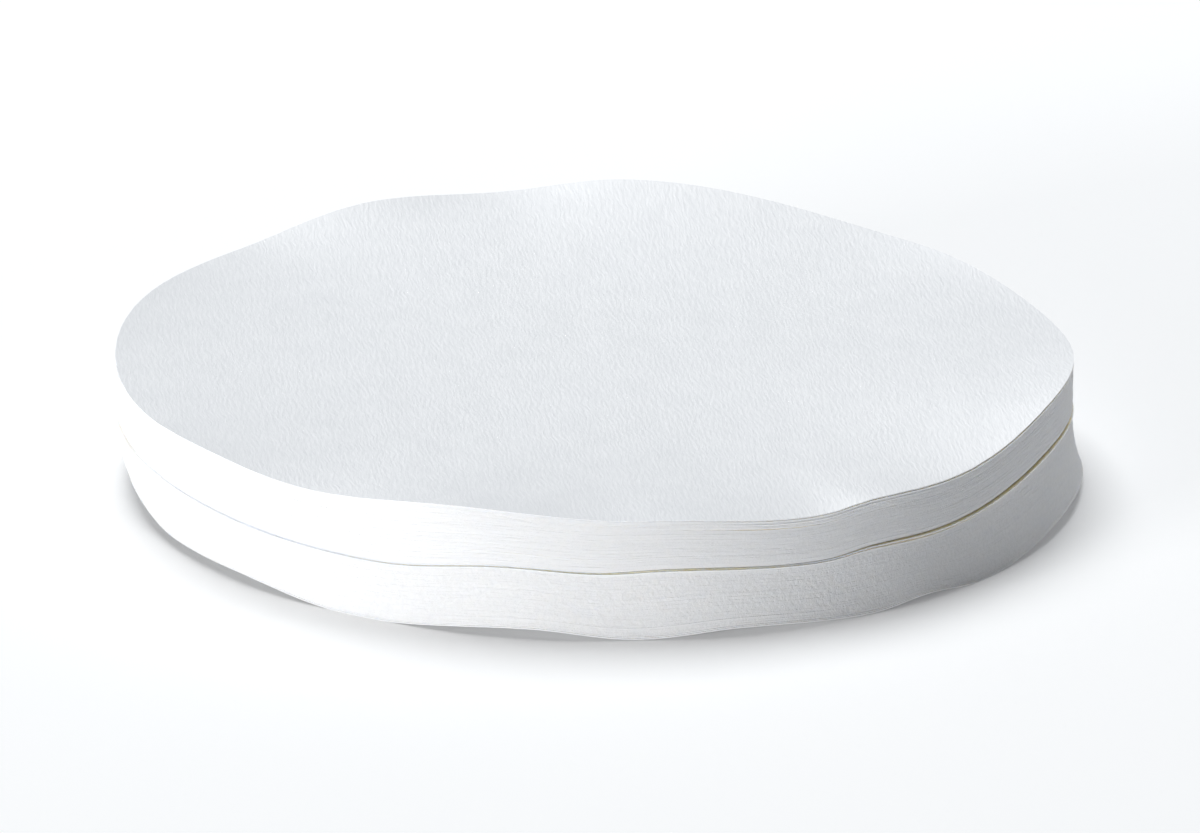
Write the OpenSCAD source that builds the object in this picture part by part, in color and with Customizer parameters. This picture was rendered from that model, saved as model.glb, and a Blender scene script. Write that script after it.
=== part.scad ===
// A pile of loose round filter papers, lying flat on a table.
// Creped sheets never lie quite flat: the rim of the pile rises and falls in slow waves, the pile
// has parted once near the middle, and its lower sheets have crept out to one side.
// Millimetres, +Z up. The origin is on the table, midway between the centres of the lowest sheet
// and the top one. Angles run anticlockwise from +X as seen from above, and the front is at 270.

/* [Sheets] */
// Diameter of one sheet
sheet_d = 185; // [125:1:270]
// Thickness of one sheet, with the air that its creping keeps around it
sheet_t = 0.23; // [0.15:0.005:0.4]
// Sheets below the parting, apart from the single sheet caught in it
lower_count = 52; // [30:1:70]
// Sheets between the parting and the top sheet
upper_count = 46; // [30:1:70]

/* [Pile] */
// How far the lowest sheet has crept towards +X from under the sheets above the parting
creep = 2.2; // [0:0.1:4]
// How strongly the rim waves, where 1 is the pile as found and 0 is a flat pile
wave_strength = 1; // [0:0.1:1.2]
// Width of the loose band along the rim, where slits between the sheets can open
loose_band = 48; // [15:1:60]
// Height at the rim of the slit under the sheet caught in the parting
lower_slit = 0.3; // [0.1:0.05:0.9]
// Height at the rim of the slit over the sheet caught in the parting
upper_slit = 0.45; // [0.1:0.05:0.9]
// Height at the rim of the slit under the top sheet
top_slit = 0.25; // [0.1:0.05:0.9]

/* [Hidden] */

// Crests and hollows of the rim, each [angle, rise above the level of a flat pile].
// Underside of the lowest sheet, in two rows: around the back, then from the left along the front
base_wave = [[20, 0], [85, 2.4], [103, 1.4], [117, 1.8], [150, 0.4],
             [193, 3.2], [208, 1.8], [220, 1.9], [240, 0], [261, 1.9], [274, 0.3], [286, 1.5],
             [303, 0.4], [311, 1.4], [320, 0.2], [345, 3]];
// The parting
parting_wave = [[20, 0.6], [85, 3.6], [103, 2.2], [117, 2.8], [150, 0.8],
                [195, 2.1], [244, -0.1], [260, 1.8], [271, 1.1], [278, 1.5], [298, 0],
                [305, 0.8], [314, 0.4], [343, 4]];
// Face of the top sheet
top_wave = [[20, -0.7], [47, 1.2], [86, 5.9], [103, 3.7], [118, 4.7], [140, 1.6], [163, 2.3],
            [203, 0.8], [216, 1.1], [234, 0], [254, 1.7], [276, 0], [297, -2.1],
            [305, -1], [315, -1.4], [343, 2.8]];

// A wave dies away towards the middle of the pile with this power of the radius
wave_fade = 3;
// A slit closes towards the inside of the loose band with this power of the distance
slit_fade = 2;
// The weight of the pile presses this much of the underside flat on the table
table_press = 0.15;
// Facets around the rim, and rings of facets from the middle to the rim
segments = 96;
rings = 6;
// Rings crowd towards the rim, where the waves are, by this power
ring_crowding = 1.7;

sheet_r = sheet_d / 2;
sheet_count = lower_count + 1 + upper_count + 1;
pile_h = sheet_count * sheet_t;

// Levels in the pile, from 0 at the table to 1 at the top: both faces of the sheet caught in the
// parting, and the underside of the top sheet
parting_floor = lower_count / sheet_count;
parting_roof = (lower_count + 1) / sheet_count;
top_floor = (sheet_count - 1) / sheet_count;

function mix(from, to, share) = from + (to - from) * share;
function clamped(share) = min(1, max(0, share));

// Height of a wave at an angle: a cosine slope from each crest or hollow to the next one round
function wave_at(wave, angle, i = 0) =
    let (here = wave[i], next = wave[(i + 1) % len(wave)],
         span = (next[0] - here[0] + 360) % 360,
         along = (angle - here[0] + 360) % 360)
    along < span ? mix(here[1], next[1], (1 - cos(180 * along / span)) / 2)
                 : wave_at(wave, angle, i + 1);

// Rise of the rim at a level: the base wave turns into the parting wave through the lower pack,
// and the parting wave into the top wave through the upper pack
function rim_rise(level, angle) =
    let (through_lower = clamped(level / parting_floor),
         through_upper = clamped((level - parting_roof) / (top_floor - parting_roof)),
         below = mix(wave_at(base_wave, angle), wave_at(parting_wave, angle), through_lower))
    wave_strength * mix(below, wave_at(top_wave, angle), through_upper);

// The lower pack has crept out sheet by sheet, most of all at its foot
function layer_x(level) =
    creep * (pow(1 - clamped(level / parting_floor), 2) - 0.5);

// Radius of a ring as a share of the sheet's radius
function ring_share(ring) = 1 - pow(1 - ring / rings, ring_crowding);
// How far a slit has opened at a share of the radius, from 0 to 1 at the rim
function slit_open(share) = pow(clamped(1 - (1 - share) * sheet_r / loose_band), slit_fade);

// Points of one layer of the pile: its centre, then ring by ring out to the rim.
// rim_lift moves the rim up or down by a slit, and drop lowers the whole layer
function layer_points(level, rim_lift, drop) =
    let (rises = [for (k = [0 : segments - 1]) rim_rise(level, k * 360 / segments)],
         z = level * pile_h - drop)
    concat([[layer_x(level), 0, z]],
           [for (ring = [1 : rings], k = [0 : segments - 1])
               let (share = ring_share(ring), angle = k * 360 / segments, r = share * sheet_r)
               [layer_x(level) + r * cos(angle), r * sin(angle),
                z + rises[k] * pow(share, wave_fade) + rim_lift * slit_open(share)]]);

// Number of a point in a layer whose centre is point number first
function at(first, ring, k) = first + 1 + (ring - 1) * segments + k % segments;

// Triangles over a layer, wound to be seen from above
function layer_faces(first) = concat(
    [for (k = [0 : segments - 1]) [first, at(first, 1, k + 1), at(first, 1, k)]],
    [for (ring = [1 : rings - 1], k = [0 : segments - 1])
        [at(first, ring, k), at(first, ring, k + 1), at(first, ring + 1, k + 1)]],
    [for (ring = [1 : rings - 1], k = [0 : segments - 1])
        [at(first, ring, k), at(first, ring + 1, k + 1), at(first, ring + 1, k)]]);

// Triangles of the cut edge between the rims of two layers
function edge_faces(low, high) = concat(
    [for (k = [0 : segments - 1]) [at(low, rings, k), at(high, rings, k), at(high, rings, k + 1)]],
    [for (k = [0 : segments - 1]) [at(low, rings, k), at(high, rings, k + 1), at(low, rings, k + 1)]]);

function turned_over(faces) = [for (face = faces) [face[0], face[2], face[1]]];

// The solid between two layers. Each layer's rim is lifted by the slits beneath it
module layers(low_level, low_lift, high_level, high_lift, drop = 0) {
    low = layer_points(low_level, low_lift, drop);
    high = layer_points(high_level, high_lift, 0);
    first_high = len(low);
    polyhedron(
        points = concat(low, high),
        faces = concat(turned_over(layer_faces(0)), layer_faces(first_high), edge_faces(0, first_high)),
        convexity = 6);
}

// The sheets under the parting. The table trims the underside flat where no wave lifts it
module lower_pack() {
    color("whitesmoke")
    difference() {
        layers(0, 0, parting_floor, -lower_slit, table_press);
        translate([-sheet_d, -sheet_d, -sheet_d])
            cube([2 * sheet_d, 2 * sheet_d, sheet_d]);
    }
}

// The single sheet caught in the parting
module parting_sheet() {
    color("white")
    layers(parting_floor, 0, parting_roof, 0);
}

// The sheets between the parting and the top sheet
module upper_pack() {
    color("whitesmoke")
    layers(parting_roof, upper_slit, top_floor, upper_slit);
}

// The one sheet that is seen whole
module top_sheet() {
    color("white")
    layers(top_floor, upper_slit + top_slit, 1, upper_slit + top_slit);
}

lower_pack();
parting_sheet();
upper_pack();
top_sheet();
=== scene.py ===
from math import cos, pi, radians, sin

import bpy
import numpy as np
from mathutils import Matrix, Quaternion, Vector


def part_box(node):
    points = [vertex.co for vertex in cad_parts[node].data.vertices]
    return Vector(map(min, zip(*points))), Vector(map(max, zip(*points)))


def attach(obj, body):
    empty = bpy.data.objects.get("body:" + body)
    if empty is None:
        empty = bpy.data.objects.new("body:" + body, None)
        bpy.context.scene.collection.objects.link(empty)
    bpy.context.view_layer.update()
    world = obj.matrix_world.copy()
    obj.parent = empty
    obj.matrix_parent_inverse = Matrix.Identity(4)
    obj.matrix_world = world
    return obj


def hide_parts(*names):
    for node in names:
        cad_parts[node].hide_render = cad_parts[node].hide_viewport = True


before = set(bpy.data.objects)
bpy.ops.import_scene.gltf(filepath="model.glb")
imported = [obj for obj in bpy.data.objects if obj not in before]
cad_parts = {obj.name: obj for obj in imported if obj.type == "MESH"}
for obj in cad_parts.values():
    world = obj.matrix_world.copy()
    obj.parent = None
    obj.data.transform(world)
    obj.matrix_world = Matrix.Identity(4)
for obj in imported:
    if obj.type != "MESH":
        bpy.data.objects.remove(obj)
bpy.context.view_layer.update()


# ---------------------------------------------------------------------------------------------
# The lower pack: the fifty-two sheets under the parting. Each is a round of creped, wet-strength
# filter paper, cut from the web by one round die. They are only jogged together by hand, so their
# edges stand a little in and out of each other, and thin slits come and go between them.
# ---------------------------------------------------------------------------------------------
# Levels run from 0 at the table to 1 at the top. Angles run anticlockwise from +x as seen from
# above, so the front is at 270 degrees.
sheet_r = (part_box("top_sheet")[1].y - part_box("top_sheet")[0].y) / 2
sheet_pitch = 0.00023
lower_count = 52
upper_count = 46
sheet_count = lower_count + 1 + upper_count + 1
pile_h = sheet_count * sheet_pitch
parting_floor = lower_count / sheet_count
parting_roof = (lower_count + 1) / sheet_count
top_floor = (sheet_count - 1) / sheet_count

creep = 0.0022
loose_band = 0.048
table_press = 0.00015

steps_round = 480
angle = np.arange(steps_round) * 2 * pi / steps_round
cap_rings = 20
ring_crowding = 2.2
ring_share = 1 - (1 - np.arange(1, cap_rings) / cap_rings) ** ring_crowding
slit_rings = 4

slow_fade = 3
quick_fade = 8
slit_reach = 0.0016
millimetre = 0.001


def round_the_rim(turns):
    """Value at every step round the rim. turns lists crests and hollows as [degrees, value], and
    from one to the next the value follows half a cosine wave, (1 - cos(pi * way along)) / 2."""
    at, value = np.array(turns, float).T
    at = np.concatenate([at[-1:] - 360, at, at[:1] + 360])
    value = np.concatenate([value[-1:], value, value[:1]])
    here = np.degrees(angle)
    after = np.searchsorted(at, here, side="right")
    way = (here - at[after - 1]) / (at[after] - at[after - 1])
    return value[after - 1] + (value[after] - value[after - 1]) * (1 - np.cos(pi * way)) / 2


def slow_and_quick(wave):
    """A wave parted in two rows. The first keeps the cosines that go up to 3 times round, and fades
    those of 4 to 8 times evenly. The second is what is left: the short crests and hollows."""
    last_whole = 3
    first_gone = 9
    times = np.arange(steps_round // 2 + 1)
    kept = np.clip((first_gone - times) / (first_gone - last_whole), 0, 1)
    slow = np.fft.irfft(np.fft.rfft(wave) * kept, steps_round)
    return np.stack([slow, wave - slow])[:, None]


# How far the rim stands over the middle at the base, at the parting and at the top, in mm.
base_wave = slow_and_quick(millimetre * round_the_rim([
    [20, 0], [85, 2.4], [103, 1.4], [117, 1.8], [150, 0.4], [193, 3.2], [208, 1.8], [220, 1.9],
    [240, 0], [261, 1.9], [274, 0.3], [286, 1.5], [303, 0.4], [311, 1.4], [320, 0.2], [345, 3]]))
parting_wave = slow_and_quick(millimetre * round_the_rim([
    [20, 0.6], [85, 3.6], [103, 2.2], [117, 2.8], [150, 0.8], [195, 2.1], [244, -0.1], [260, 1.8],
    [271, 1.1], [278, 1.5], [298, 0], [305, 0.8], [314, 0.4], [343, 4]]))
top_wave = slow_and_quick(millimetre * round_the_rim([
    [20, -0.7], [47, 1.2], [86, 5.9], [103, 3.7], [118, 4.7], [140, 1.6], [163, 2.3], [203, 0.8],
    [216, 1.1], [234, 0], [254, 1.7], [276, 0], [297, -2.1], [305, -1], [315, -1.4], [343, 2.8]]))


def rim_rise(level):
    """How far the rim of a level stands over its middle, as its slow part and its quick part: the
    base's wave blends evenly into the parting's wave through the lower pack, and that one into the
    top's wave through the upper."""
    through_lower = np.clip(level / parting_floor, 0, 1)
    through_upper = np.clip((level - parting_roof) / (top_floor - parting_roof), 0, 1)
    below = base_wave + (parting_wave - base_wave) * through_lower
    return below + (top_wave - below) * through_upper


def layer_x(level):
    """Sideways place of a level's centre: the creep dies away as a square up to the parting."""
    return creep * ((1 - np.clip(level / parting_floor, 0, 1)) ** 2 - 0.5)


def layer_z(level, share, lift, slit=0.0, slit_depth=slit_reach):
    """Height of a level at a share of the way from its middle to its rim: its even height, plus
    the rim's slow rise times the cube of the share, plus the quick rise times its eighth power,
    plus the lift, which grows as a square over the loose band, plus the slit, which opens as a
    square over its own depth at the rim."""
    inward = (1 - share) * sheet_r
    loose = np.clip(1 - inward / loose_band, 0, 1) ** 2
    open_slit = np.clip(1 - inward / slit_depth, 0, 1) ** 2
    slow, quick = rim_rise(level)
    wave = slow * share**slow_fade + quick * share**quick_fade
    return level * pile_h + wave + lift * loose + slit * open_slit


def swings(chance, rows, few, many):
    """Rows of chance swings round the rim with a mean square of 1. Each is a sum of cosines that
    go from few to many times round, with seeded strengths and phases."""
    times = np.arange(few, many + 1)[None, :, None]
    phase = chance.uniform(0, 2 * pi, (rows, times.size, 1))
    strength = chance.normal(size=(rows, times.size, 1))
    return (strength * np.cos(times * angle + phase)).sum(1) / np.sqrt(times.size / 2)


def bell(middle, spread, size):
    """A bell curve round the rim, size * exp(-(way off / spread) squared), with the way off the
    middle and the spread in degrees and the size in mm."""
    off = (np.degrees(angle) - middle + 180) % 360 - 180
    return millimetre * size * np.exp(-((off / spread) ** 2))


def slits_between(count, slits):
    """Height of the air above each sheet but the last. A slit is [sheets below it, degrees,
    spread in degrees, height in mm], and closes to both sides as a bell curve."""
    air = np.zeros((count - 1, steps_round))
    for below, middle, spread, height in slits:
        air[below - 1] += bell(middle, spread, height)
    return air


def pack_edge(chance, count, floor_z, roof_z, slits, tightness, looseness):
    """Lower and upper lip of each sheet's cut edge. The sheets take up tightness of the pack's
    height in equal parts, the named slits take theirs, and the air that is left, or 0.02 mm where
    there is less, is shared out by chance, as the exponential of a swing."""
    least_air = 0.00002
    whole = roof_z - floor_z
    paper = tightness * whole / count
    named = slits_between(count, slits)
    shares = np.exp(looseness * swings(chance, count - 1, 1, 12))
    free = np.maximum(whole - count * paper - named.sum(0), least_air)
    air = named + free * shares / shares.sum(0)
    paper = (whole - air.sum(0)) / count
    under = np.vstack([np.zeros((1, steps_round)), np.cumsum(air, 0)])
    lower_lip = floor_z + np.arange(count)[:, None] * paper + under
    return lower_lip, lower_lip + paper


def jogged(chance, count, slip, ripple):
    """Radius of each sheet's edge round the rim: the die's radius, plus a sideways slip that
    drifts from sheet to sheet, plus the fine and the broad ripple that the creping leaves on the
    cut."""
    drift = np.array([1, 2, 3, 4, 3, 2, 1])
    drift = drift / np.sqrt((drift**2).sum())
    slow_share = 0.7
    quick_share = 0.5
    walk = chance.normal(size=(2, count + drift.size - 1))
    slow = np.array([np.convolve(row, drift, "valid") for row in walk])
    quick = chance.normal(size=(2, count))
    east, north = slip * (slow_share * slow + quick_share * quick)
    turned = east[:, None] * np.cos(angle) + north[:, None] * np.sin(angle)
    fine = ripple * swings(chance, count, 30, 120)
    broad = ripple * swings(chance, count, 3, 9)
    return sheet_r + turned + fine + broad


def round_piece(name, rows_x, rows_r, rows_z, tuck, wall, covered, materials):
    """Closed round piece from rows of points, each row once round: from the middle of the
    underside out to the rim, up the wall and back in to the middle of the upper face. A point is
    (x of the row's centre + r cos angle, r sin angle, z), and a fan closes each middle. wall is
    the first and last row of the cut edges, where each third band is an edge and the two between
    are the faces that show in a slit. covered says whether another piece lies against the
    underside and the upper face, whose outer rings then also show only in a slit. materials are
    those of the face, the edges and the slits."""
    crease = radians(32)
    rows = len(rows_z)
    x = rows_x + rows_r * np.cos(angle)
    y = rows_r * np.sin(angle)
    body = np.stack([x, y, rows_z], -1).reshape(-1, 3)
    middles = [[rows_x[end].mean(), 0, rows_z[end].mean()] for end in (0, -1)]
    points = np.vstack([body, middles])

    here = np.arange(steps_round)
    onward = (here + 1) % steps_round
    row = np.arange(rows - 1)[:, None] * steps_round
    quads = np.stack([row + here, row + onward, row + steps_round + onward, row + steps_round + here], -1)
    last = (rows - 1) * steps_round
    under_fan = np.stack([np.full(steps_round, rows * steps_round), onward, here], -1)
    upper_fan = np.stack([np.full(steps_round, rows * steps_round + 1), last + here, last + onward], -1)
    corners = np.concatenate([quads.ravel(), under_fan.ravel(), upper_fan.ravel()])
    sizes = np.repeat([4, 3, 3], [quads.size // 4, steps_round, steps_round])
    up_wall = np.arange(rows - 1) - wall[0]
    top_of_wall = wall[1] - wall[0]
    on_wall = (up_wall >= 0) & (up_wall < top_of_wall)
    under_slit = (up_wall < 0) & (up_wall >= -slit_rings) & covered[0]
    over_slit = (up_wall >= top_of_wall) & (up_wall < top_of_wall + slit_rings) & covered[1]
    row_finish = np.where(on_wall, np.where(up_wall % 3 == 0, 1, 2), 2 * (under_slit | over_slit))
    finish = np.concatenate([np.repeat(row_finish, steps_round), np.zeros(2 * steps_round, int)])

    mesh = bpy.data.meshes.new(name)
    mesh.vertices.add(len(points))
    mesh.vertices.foreach_set("co", points.ravel())
    mesh.loops.add(len(corners))
    mesh.loops.foreach_set("vertex_index", corners)
    mesh.polygons.add(len(sizes))
    mesh.polygons.foreach_set("loop_start", np.cumsum(sizes) - sizes)
    mesh.polygons.foreach_set("material_index", finish.astype(np.int32))
    mesh.update(calc_edges=True)

    # The rim map runs along the edge and up it, in metres, and opens at angle 0.
    step = 2 * pi * sheet_r / steps_round
    quad_way = np.stack([here, here + 1, here + 1, here], -1) * step
    along = np.concatenate([np.tile(quad_way.ravel(), rows - 1), np.zeros(6 * steps_round)])
    rim_map = mesh.uv_layers.new(name="rim")
    rim_map.data.foreach_set("uv", np.stack([along, points[corners, 2]], -1).ravel())
    # The tuck attribute masks the painted cream, the painted warm light in the slits.
    depth = mesh.attributes.new("tuck", "FLOAT", "POINT")
    depth.data.foreach_set("value", np.concatenate([tuck.ravel(), [tuck[0].mean(), tuck[-1].mean()]]))

    for material in materials:
        mesh.materials.append(material)
    mesh.shade_smooth()
    mesh.set_sharp_from_angle(angle=crease)
    piece = bpy.data.objects.new(name, mesh)
    bpy.context.scene.collection.objects.link(piece)
    return piece


def inside_tuck(share):
    """How deep in the pile a point on a hidden face is: 0 at the rim, 1 from 0.5 mm in. It masks
    the painted cream, the painted warm light in slits.
    """
    deep_from = 0.0005
    deep = np.clip((1 - share) * sheet_r / deep_from, 0, 1)
    return np.broadcast_to(deep, (len(share), steps_round))


def pack(name, chance, count, floor, roof, style, materials):
    """A pack of loose sheets as one closed piece. Each sheet's edge is a narrow upright band, and
    between two sheets a groove runs in as a wedge, deeper in proportion to the slit over it. floor
    and roof give the level, lift and slit of the pack's two faces."""
    groove_for_air = 2.2
    least_groove = 0.00006
    most_groove = 0.003
    painted_cream_from = 0.00008
    painted_cream_within = 0.00022
    floor_level, roof_level = floor[0], roof[0]
    one = np.ones((1, 1))
    share = ring_share[:, None]
    floor_z = np.maximum(layer_z(floor_level, one, *floor[1:]), 0)
    roof_z = layer_z(roof_level, one, *roof[1:])
    lower_lip, upper_lip = pack_edge(chance, count, floor_z[0], roof_z[0], style["slits"],
                                     style["tightness"], style["looseness"])
    edge_r = jogged(chance, count, style["slip"], style["ripple"]) + style["stand_out"]
    level = floor_level + (roof_level - floor_level) * (np.arange(count)[:, None] + 0.5) / count
    half = (roof_level - floor_level) / count / 2
    low_x = layer_x(level - half) * np.ones((1, steps_round))
    high_x = layer_x(level + half) * np.ones((1, steps_round))

    air = lower_lip[1:] - upper_lip[:-1]
    depth = np.clip(groove_for_air * air, least_groove, most_groove)
    slow, quick = rim_rise(level[:-1])
    slope = (slow_fade * slow + quick_fade * quick) / sheet_r
    notch_r = np.minimum(edge_r[1:], edge_r[:-1]) - depth
    notch_z = (lower_lip[1:] + upper_lip[:-1]) / 2 - slope * depth
    bands = np.stack([lower_lip[:-1], upper_lip[:-1], notch_z], 1).reshape(-1, steps_round)
    bands_r = np.stack([edge_r[:-1], edge_r[:-1], notch_r], 1).reshape(-1, steps_round)
    bands_x = np.stack([low_x[:-1], high_x[:-1], high_x[:-1]], 1).reshape(-1, steps_round)
    last = np.vstack([lower_lip[-1:], upper_lip[-1:]])

    under_z = np.maximum(layer_z(floor_level, share, *floor[1:]), 0)
    over_z = layer_z(roof_level, share, *roof[1:])[::-1]
    level_x = np.ones((cap_rings - 1, steps_round))
    rows_z = np.vstack([under_z, bands, last, over_z])
    rows_r = np.vstack([share * edge_r[0], bands_r, edge_r[[-1, -1]], share[::-1] * edge_r[-1]])
    rows_x = np.vstack([level_x * low_x[0], bands_x, low_x[-1:], high_x[-1:], level_x * high_x[-1]])
    hidden = inside_tuck(share)
    # Deeper grooves get more painted cream, painted warm light in the slit.
    in_groove = np.clip((depth - painted_cream_from) / painted_cream_within, 0, 1)
    at_lip = 0 * in_groove
    wall_tuck = np.stack([at_lip, at_lip, in_groove], 1).reshape(-1, steps_round)
    covered = (floor_level > 0, True)
    tuck = np.vstack([hidden * covered[0], wall_tuck, np.zeros((2, steps_round)), hidden[::-1]])
    first_wall = cap_rings - 1
    wall = (first_wall, first_wall + 3 * count - 2)
    return round_piece(name, rows_x, rows_r, rows_z, tuck, wall, covered, materials)


def node(tree, kind, choices=None, **sockets):
    """Adds a shader node. choices are its own settings, and sockets are filled by a value or by
    a link, under their names with spaces as underscores."""
    made = tree.nodes.new(kind)
    for name, value in (choices or {}).items():
        setattr(made, name, value)
    for name, value in sockets.items():
        socket = made.inputs[name.replace("_", " ")]
        if isinstance(value, bpy.types.NodeSocket):
            tree.links.new(value, socket)
        else:
            socket.default_value = value
    return made


def ranged(tree, value, low, high, to_low, to_high):
    """A value carried from one range to another, and held at its ends."""
    return node(tree, "ShaderNodeMapRange", Value=value, From_Min=low, From_Max=high,
                To_Min=to_low, To_Max=to_high).outputs["Result"]


def blended(tree, share, first, second):
    """A colour a share of the way from the first to the second."""
    mix = tree.nodes.new("ShaderNodeMix")
    mix.data_type = "RGBA"
    tree.links.new(share, mix.inputs[0])
    for slot, colour in ((6, first), (7, second)):
        if isinstance(colour, bpy.types.NodeSocket):
            tree.links.new(colour, mix.inputs[slot])
        else:
            mix.inputs[slot].default_value = colour
    return mix.outputs[2]


def summed(tree, value, times, plus):
    """value * times + plus."""
    made = tree.nodes.new("ShaderNodeMath")
    made.operation = "MULTIPLY_ADD"
    tree.links.new(value, made.inputs[0])
    made.inputs[1].default_value = times
    if isinstance(plus, bpy.types.NodeSocket):
        tree.links.new(plus, made.inputs[2])
    else:
        made.inputs[2].default_value = plus
    return made.outputs[0]


paper_white = (0.846, 0.855, 0.868, 1)
paper_shade = (0.809, 0.820, 0.835, 1)
# Painted warm light: the deep cream painted on paper far into a slit.
painted_deep_slit_light = (0.930, 0.745, 0.390, 1)
ridge_width = 0.00060
ridge_length = 0.0032
ridge_wander = 0.0018
ridge_relief = 0.00010


def creped_face():
    """The face of a sheet. Creping gathers the web into short soft ridges that run one way: noise
    with cells 0.6 mm wide and 3.2 mm long, pushed sideways by a slow noise so that the ridges
    wander. Fibres add a fine tooth, and cloudy stretches of thicker paper a slight change of tone.
    The ridge crests are also painted lighter than the hollows, a painted highlight. Where the face
    lies in a slit it is painted deep cream: painted warm light, for light that came through paper."""
    fibre_share = 0.16
    crest_painted_highlight = 0.45
    cloud_tone = 0.55
    material = bpy.data.materials.new("creped_paper_face")
    material.use_nodes = True
    tree = material.node_tree
    shader = tree.nodes["Principled BSDF"]
    place = node(tree, "ShaderNodeTexCoord").outputs["Object"]
    bend = node(tree, "ShaderNodeTexNoise", Vector=place, Scale=160.0, Detail=2.0, Roughness=0.5)
    pushed = node(tree, "ShaderNodeVectorMath", {"operation": "MULTIPLY_ADD"})
    tree.links.new(bend.outputs["Color"], pushed.inputs[0])
    pushed.inputs[1].default_value = (ridge_wander, 0, 0)
    tree.links.new(place, pushed.inputs[2])
    lay = node(tree, "ShaderNodeMapping", {"vector_type": "TEXTURE"}, Vector=pushed.outputs[0],
               Rotation=(0, 0, radians(6)), Scale=(ridge_width, ridge_length, ridge_length))
    ridges = node(tree, "ShaderNodeTexNoise", Vector=lay.outputs[0], Scale=1.0, Detail=2.0,
                  Roughness=0.45).outputs["Fac"]
    fibres = node(tree, "ShaderNodeTexNoise", Vector=place, Scale=3200.0, Detail=3.0,
                  Roughness=0.6).outputs["Fac"]
    clouds = node(tree, "ShaderNodeTexNoise", Vector=place, Scale=140.0, Detail=3.0,
                  Roughness=0.55).outputs["Fac"]
    relief = summed(tree, fibres, fibre_share, ridges)
    bump = node(tree, "ShaderNodeBump", Strength=1.0, Distance=ridge_relief, Height=relief)
    # Tone: the clouds' real change of tone, plus painted highlight that lightens the ridge crests.
    tone = summed(tree, clouds, cloud_tone, summed(tree, ridges, crest_painted_highlight, 0.0))
    colour = blended(tree, ranged(tree, tone, 0.34, 0.66, 0, 1), paper_shade, paper_white)
    # Where the face lies in a slit the tuck paints it cream: painted warm light.
    tuck = node(tree, "ShaderNodeAttribute", {"attribute_name": "tuck"}).outputs["Fac"]
    tree.links.new(blended(tree, tuck, colour, painted_deep_slit_light), shader.inputs["Base Color"])
    tree.links.new(ranged(tree, clouds, 0.3, 0.7, 0.95, 0.84), shader.inputs["Roughness"])
    tree.links.new(bump.outputs[0], shader.inputs["Normal"])
    shader.inputs["Specular IOR Level"].default_value = 0.22
    shader.inputs["Sheen Weight"].default_value = 0.06
    shader.inputs["Sheen Roughness"].default_value = 0.6
    return material


edge_white = (0.784, 0.785, 0.788, 1)
edge_shade = (0.724, 0.725, 0.730, 1)
streak_length = 0.024
streak_height = 0.00055
fuzz_relief = 0.00017


def cut_edge(name, streak_strength, fuzz_strength):
    """The cut edges of the sheets. Streaks lie along the sheets, noise 24 mm long and two sheets
    high on the rim map, and the cut fibres make a fine fuzz all over."""
    tone_spread = 0.22
    streak_relief = 0.2 * streak_strength
    material = bpy.data.materials.new(name)
    material.use_nodes = True
    tree = material.node_tree
    shader = tree.nodes["Principled BSDF"]
    place = node(tree, "ShaderNodeTexCoord").outputs["Object"]
    rim = node(tree, "ShaderNodeUVMap", {"uv_map": "rim"}).outputs["UV"]
    lay = node(tree, "ShaderNodeMapping", {"vector_type": "TEXTURE"}, Vector=rim,
               Scale=(streak_length, streak_height, 1.0))
    streaks = node(tree, "ShaderNodeTexNoise", Vector=lay.outputs[0], Scale=1.0, Detail=3.0,
                   Roughness=0.55).outputs["Fac"]
    fuzz = node(tree, "ShaderNodeTexNoise", Vector=place, Scale=1250.0, Detail=4.0,
                Roughness=0.62).outputs["Fac"]
    tone = summed(tree, fuzz, fuzz_strength, summed(tree, streaks, streak_strength, 0.0))
    middle = (fuzz_strength + streak_strength) / 2
    share = ranged(tree, tone, middle - tone_spread, middle + tone_spread, 0, 1)
    colour = blended(tree, share, edge_shade, edge_white)
    relief = summed(tree, fuzz, fuzz_strength, summed(tree, streaks, streak_relief, 0.0))
    bump = node(tree, "ShaderNodeBump", Strength=1.0, Distance=fuzz_relief, Height=relief)
    tree.links.new(colour, shader.inputs["Base Color"])
    tree.links.new(ranged(tree, fuzz, 0.3, 0.7, 1.0, 0.88), shader.inputs["Roughness"])
    tree.links.new(bump.outputs[0], shader.inputs["Normal"])
    shader.inputs["Specular IOR Level"].default_value = 0.15
    shader.inputs["Sheen Weight"].default_value = 0.08
    shader.inputs["Sheen Roughness"].default_value = 0.7
    shader.inputs["Subsurface Weight"].default_value = 0.5
    shader.inputs["Subsurface Radius"].default_value = (1.0, 0.88, 0.72)
    shader.inputs["Subsurface Scale"].default_value = 0.0009
    return material


# Painted warm light: the paler cream painted on slit faces far in.
painted_slit_light = (0.930, 0.835, 0.630, 1)


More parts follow.
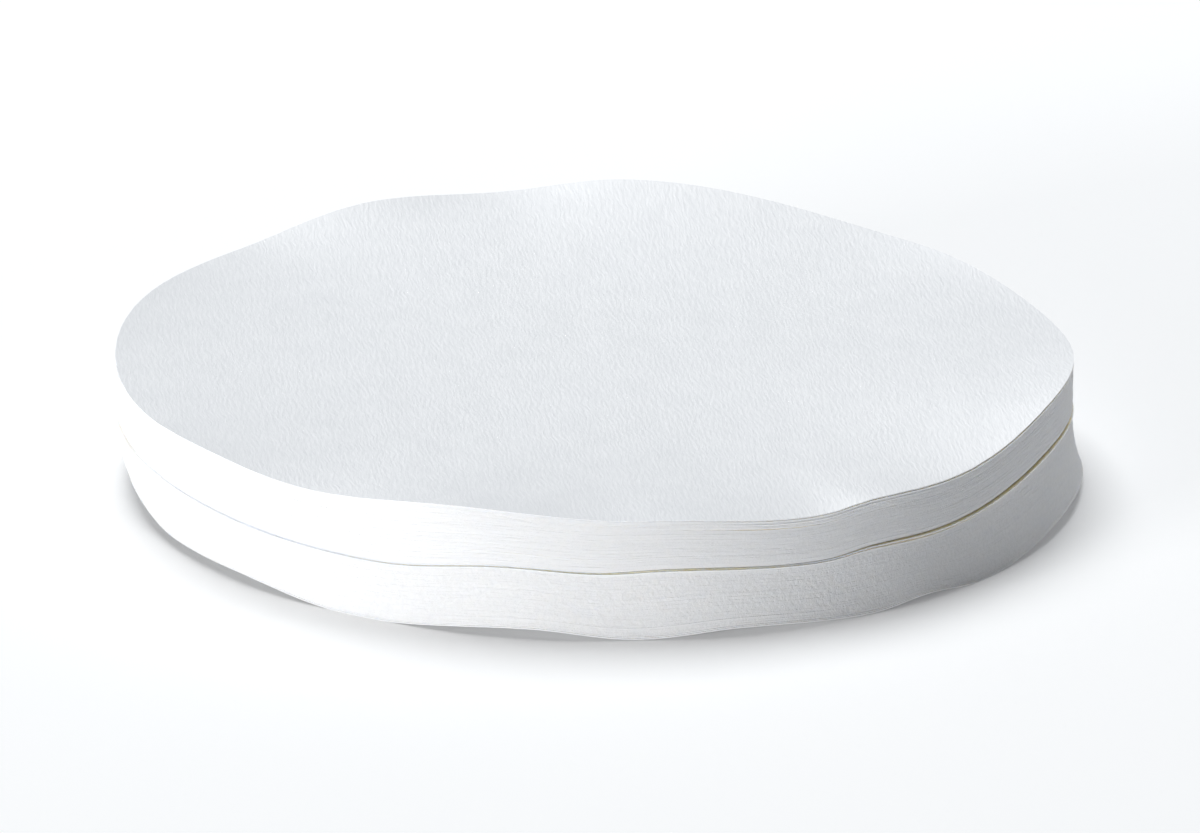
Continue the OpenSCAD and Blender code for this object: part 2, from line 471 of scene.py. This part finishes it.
def slit_paper():
    """The faces that show in a slit. They are as white as the edges at the rim. Far in they are
    painted cream, a little uneven with the fibres: painted warm light, for light that has passed
    through much paper."""
    material = bpy.data.materials.new("paper_in_slits_painted_light")
    material.use_nodes = True
    tree = material.node_tree
    shader = tree.nodes["Principled BSDF"]
    place = node(tree, "ShaderNodeTexCoord").outputs["Object"]
    fibres = node(tree, "ShaderNodeTexNoise", Vector=place, Scale=900.0, Detail=3.0,
                  Roughness=0.6).outputs["Fac"]
    share = ranged(tree, fibres, 0.35, 0.65, 0, 1)
    tuck = node(tree, "ShaderNodeAttribute", {"attribute_name": "tuck"}).outputs["Fac"]
    at_rim = blended(tree, share, edge_shade, edge_white)
    far_in = blended(tree, share, painted_deep_slit_light, painted_slit_light)
    tree.links.new(blended(tree, tuck, at_rim, far_in), shader.inputs["Base Color"])
    shader.inputs["Roughness"].default_value = 0.95
    shader.inputs["Specular IOR Level"].default_value = 0.1
    shader.inputs["Subsurface Weight"].default_value = 1.0
    shader.inputs["Subsurface Radius"].default_value = (1.0, 0.85, 0.62)
    shader.inputs["Subsurface Scale"].default_value = 0.0012
    return material


face_paper = creped_face()
slit_faces = slit_paper()
lower_edge_paper = cut_edge("fuzzy_cut_edges", 0.12, 0.88)

# At the front the parting sheet lies on the lower pack and both droop at the rim. Elsewhere a
# slit of its own opens under the sheet, and all slits of the parting run in deeper there.
front_droop = 0.00010
shallower_at_front = 0.0010
lower_slit_h = 0.0003
parting_droop = -front_droop * round_the_rim([
    [266, 0], [276, 1], [284, 1.2], [294, 0.3], [302, 0]])
parting_depth = slit_reach - shallower_at_front * round_the_rim([
    [210, 0], [240, 1], [292, 1], [306, 0]])
lower_slit = parting_droop - lower_slit_h * round_the_rim([
    [20, 0.7], [90, 0.5], [150, 0.3], [192, 1.1], [205, 0.1], [240, 0], [290, 0], [300, 0.3],
    [309, 1.2], [330, 1], [348, 0.8]])


def standing_out(count, edges):
    """How far single sheets stand out of the pack's edge, as [sheets below it, degrees, spread in
    degrees, mm], each fading to both sides as a bell curve."""
    out = np.zeros((count, steps_round))
    for below, middle, spread, far in edges:
        out[below] += bell(middle, spread, far)
    return out


lower_pack = pack(
    "lower_pack_sheets", np.random.default_rng(52), lower_count,
    (-table_press / pile_h, 0.0), (parting_floor, 0.0, lower_slit, parting_depth),
    {"slits": [[20, 200, 10, 0.06], [30, 78, 18, 0.16], [17, 120, 20, 0.12], [39, 8, 12, 0.12],
               [24, 163, 14, 0.10], [12, 42, 12, 0.14]],
     "tightness": 0.997, "looseness": 0.9, "slip": 0.000012, "ripple": 0.000012,
     "stand_out": standing_out(lower_count, [[0, 285, 80, 0.25], [1, 290, 60, 0.10],
                                             [8, 280, 20, 0.14], [51, 288, 20, 0.30]])},
    [face_paper, lower_edge_paper, slit_faces])
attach(lower_pack, "root")
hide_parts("lower_pack")


# ---------------------------------------------------------------------------------------------
# The parting sheet: one round of the same paper that has come away from its neighbours. At the
# front it shows as a cream line in the parting, its edge painted cream there as painted warm
# light. At the right it stands out past the other edges, with a dark slit over it and another
# under it.
# ---------------------------------------------------------------------------------------------
def single_sheet(name, floor_level, roof_level, lift, edge_r, edge_tuck, face_share, relief,
                 covered_top, materials):
    """One sheet as a closed piece: the underside on the packs' rings, the cut edge as one upright
    band, and the upper face on rings of its own with relief added to its height."""
    one = np.ones((1, 1))
    under_share = ring_share[:, None]
    over_share = face_share[:, None]
    rim_low = layer_z(floor_level, one, *lift)
    rim_high = layer_z(roof_level, one, *lift)
    under_z = layer_z(floor_level, under_share, *lift)
    over_z = (layer_z(roof_level, over_share, *lift) + relief)[::-1]
    rows_z = np.vstack([under_z, rim_low, rim_high, over_z])
    rows_r = np.vstack([under_share * edge_r, edge_r, edge_r, over_share[::-1] * edge_r])
    rows_x = np.full(rows_z.shape, layer_x(roof_level))
    over_tuck = inside_tuck(over_share) * covered_top
    tuck = np.vstack([inside_tuck(under_share), edge_tuck, edge_tuck, over_tuck[::-1]])
    first_wall = len(under_share)
    wall = (first_wall, first_wall + 1)
    return round_piece(name, rows_x, rows_r, rows_z, tuck, wall, (True, covered_top), materials)


# The sheet's edge is a hair inside the others where it is set back, and there it is painted
# cream like a slit: painted warm light.
set_back_by = 0.00004
stand_proud_by = 0.00032
set_back = round_the_rim([[232, 0], [252, 0.8], [272, 1], [286, 1], [300, 0]])
stand_proud = round_the_rim([[20, 0], [190, 0], [296, 0], [312, 1], [350, 1]])
parting_chance = np.random.default_rng(53)
parting_r = jogged(parting_chance, 1, 0.00003, 0.000015)
parting_r = parting_r - set_back_by * set_back + stand_proud_by * stand_proud
parting_sheet = single_sheet(
    "parting_sheet_round", parting_floor, parting_roof, (0.0, parting_droop, parting_depth),
    parting_r, edge_tuck=set_back, face_share=ring_share, relief=0.0, covered_top=True,
    materials=[face_paper, slit_faces, slit_faces])
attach(parting_sheet, "root")
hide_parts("parting_sheet")


# ---------------------------------------------------------------------------------------------
# The upper pack: the forty-six sheets between the parting and the top sheet, of the same paper.
# They lie looser than the lower ones, so their edges show as fine level streaks, and one slit
# stands open near the top at the front right.
# ---------------------------------------------------------------------------------------------
upper_slit_h = 0.00040
upper_slit = upper_slit_h * round_the_rim([
    [15, 0.7], [85, 0.9], [120, 0.5], [160, 0.3], [190, 0.9], [203, 0.1], [240, 0], [267, 0],
    [276, 0.15], [284, 0.2], [294, 0.06], [312, 0.5], [330, 0.6], [346, 0.7]])
upper_lift = 0.00045
upper_edge_paper = cut_edge("streaky_cut_edges", 0.6, 0.4)

upper_pack = pack(
    "upper_pack_sheets", np.random.default_rng(46), upper_count,
    (parting_roof, 0.0, upper_slit, parting_depth), (top_floor, upper_lift),
    {"slits": [[38, 291, 10, 0.14], [41, 297, 9, 0.07], [42, 276, 10, 0.03], [22, 312, 10, 0.04],
               [12, 262, 14, 0.05], [35, 60, 16, 0.2], [18, 95, 14, 0.18], [27, 140, 18, 0.14],
               [40, 170, 12, 0.12], [9, 30, 12, 0.12], [15, 196, 9, 0.08]],
     "tightness": 0.994, "looseness": 0.9, "slip": 0.00002, "ripple": 0.000012,
     "stand_out": standing_out(upper_count, [[45, 318, 34, 0.35], [42, 296, 16, 0.12],
                                             [0, 320, 34, -0.45], [1, 320, 34, -0.3],
                                             [2, 320, 34, -0.18], [3, 320, 34, -0.1]])},
    [face_paper, upper_edge_paper, slit_faces])
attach(upper_pack, "root")
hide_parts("upper_pack")


# ---------------------------------------------------------------------------------------------
# The top sheet: the one round of creped paper that is seen whole. It waves with the pile, its
# rim stands clear of the sheet under it, and slow cockles run through it along the ridges.
# ---------------------------------------------------------------------------------------------
top_slit_h = 0.00025
top_slit_depth = 0.010
top_slit = top_slit_h * round_the_rim([
    [30, 0.8], [90, 0.6], [180, 0.4], [205, 0.02], [276, 0.02], [294, 0.2], [320, 0.5], [345, 0.5]])
face_rings = 90
face_crowding = 1.15
face_share = 1 - (1 - np.arange(1, face_rings) / face_rings) ** face_crowding


def cockles(chance, share, waves, depth):
    """Slow chance relief of a sheet, a sum of plane waves 6 to 26 mm long. Their crests lie
    nearly along y, as the creping does, and they die away towards the cut edge."""
    shortest = 0.006
    longest = 0.026
    length = chance.uniform(shortest, longest, waves)
    lean = chance.normal(0, radians(28), waves)
    phase = chance.uniform(0, 2 * pi, waves)
    x = (share[:, None] * sheet_r * np.cos(angle))[..., None]
    y = (share[:, None] * sheet_r * np.sin(angle))[..., None]
    swell = np.cos(2 * pi * (x * np.cos(lean) + y * np.sin(lean)) / length + phase).sum(-1)
    return depth * swell / np.sqrt(waves / 2) * (1 - share[:, None] ** 8)


single_edge_paper = cut_edge("single_cut_edge", 0.3, 0.4)
top_overhang = 0.00008
cockle_depth = 0.000012
top_chance = np.random.default_rng(100)
top_r = jogged(top_chance, 1, 0.00003, 0.00002) + top_overhang
top_cockles = cockles(top_chance, face_share, 26, cockle_depth)
top_sheet = single_sheet(
    "top_sheet_round", top_floor, 1.0, (upper_lift, top_slit, top_slit_depth),
    top_r, edge_tuck=np.zeros(steps_round), face_share=face_share, relief=top_cockles,
    covered_top=False, materials=[face_paper, single_edge_paper, slit_faces])
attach(top_sheet, "root")
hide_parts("top_sheet")


# ---------------------------------------------------------------------------------------------
# The studio: a pale matt floor that sweeps up into a low wall far away all round, a soft box over
# and behind the pile, a second one low at the front left, and the camera.
# ---------------------------------------------------------------------------------------------
floor_r = 6.0
floor_middle = 0.02
sweep_start = 4.2
sweep_h = 0.9


def sweep(radius):
    """Height of the floor at a radius: flat, then rising as a square to the wall's height."""
    return sweep_h * np.clip((radius - sweep_start) / (floor_r - sweep_start), 0, 1) ** 2


floor_steps = 96
floor_rings = 40
way_out = np.linspace(floor_middle, 1, floor_rings)[:, None] * floor_r
floor_angle = np.arange(floor_steps) * 2 * pi / floor_steps
floor_points = np.stack([way_out * np.cos(floor_angle), way_out * np.sin(floor_angle),
                         sweep(way_out) + 0 * floor_angle], -1).reshape(-1, 3)
ring_row = np.arange(floor_rings - 1)[:, None] * floor_steps
ring_here = np.arange(floor_steps)
ring_on = (ring_here + 1) % floor_steps
floor_quads = np.stack([ring_row + ring_here, ring_row + floor_steps + ring_here,
                        ring_row + floor_steps + ring_on, ring_row + ring_on], -1).reshape(-1, 4)
floor_mesh = bpy.data.meshes.new("floor")
floor_mesh.from_pydata(floor_points.tolist(), [], floor_quads.tolist() + [ring_here.tolist()])
floor_mesh.shade_smooth()
floor = bpy.data.objects.new("floor", floor_mesh)
bpy.context.scene.collection.objects.link(floor)
floor_paint = bpy.data.materials.new("matt_floor")
floor_paint.use_nodes = True
floor_tree = floor_paint.node_tree
floor_place = node(floor_tree, "ShaderNodeTexCoord").outputs["Object"]
floor_grain = node(floor_tree, "ShaderNodeTexNoise", Vector=floor_place, Scale=3.0).outputs["Fac"]
floor_shader = floor_tree.nodes["Principled BSDF"]
floor_grey = (0.93, 0.93, 0.93, 1)
floor_white = (0.95, 0.95, 0.95, 1)
floor_colour = blended(floor_tree, floor_grain, floor_grey, floor_white)
floor_tree.links.new(floor_colour, floor_shader.inputs["Base Color"])
floor_shader.inputs["Roughness"].default_value = 0.9
floor_shader.inputs["Specular IOR Level"].default_value = 0.1
floor_shader.inputs["Emission Color"].default_value = (1, 1, 1, 1)
floor_shader.inputs["Emission Strength"].default_value = 0.06
floor_mesh.materials.append(floor_paint)

world = bpy.data.worlds.new("studio_air")
world.use_nodes = True
glow = world.node_tree.nodes["Background"]
glow.inputs["Color"].default_value = (0.95, 0.97, 1.0, 1)
glow.inputs["Strength"].default_value = 0.20
bpy.context.scene.world = world
bpy.context.scene.view_settings.view_transform = "Standard"

pile_middle = Vector((0, 0, pile_h / 2))


def soft_box(name, around, up, distance, width, height, power, colour):
    """A flat lamp that looks at the pile from around degrees anticlockwise from +x and up
    degrees over the floor, along (cos up cos around, cos up sin around, sin up)."""
    lamp = bpy.data.lights.new(name, "AREA")
    lamp.shape = "RECTANGLE"
    lamp.size = width
    lamp.size_y = height
    lamp.energy = power
    lamp.color = colour
    back = Vector((cos(radians(up)) * cos(radians(around)),
                   cos(radians(up)) * sin(radians(around)),
                   sin(radians(up))))
    holder = bpy.data.objects.new(name, lamp)
    holder.location = pile_middle + back * distance
    holder.rotation_mode = "QUATERNION"
    holder.rotation_quaternion = back.to_track_quat("Z", "Y")
    bpy.context.scene.collection.objects.link(holder)


soft_box("over_and_behind", around=98, up=65, distance=2.6, width=1.9, height=2.0, power=62,
         colour=(0.96, 0.982, 1.0))
soft_box("low_front_left", around=223, up=5, distance=2.6, width=1.1, height=0.42, power=70,
         colour=(1.0, 1.0, 0.995))

camera = bpy.data.cameras.new("camera")
camera.sensor_width = 36
camera.lens = 324
camera.clip_start = 0.05
camera.clip_end = 30
viewer = bpy.data.objects.new("camera", camera)
viewer.location = (0, -1.973, 0.708)
towards = pile_middle - viewer.location
roll = Quaternion((0, 0, 1), radians(0.33))
viewer.rotation_mode = "QUATERNION"
viewer.rotation_quaternion = towards.to_track_quat("-Z", "Y") @ roll
bpy.context.scene.collection.objects.link(viewer)
bpy.context.scene.camera = viewer
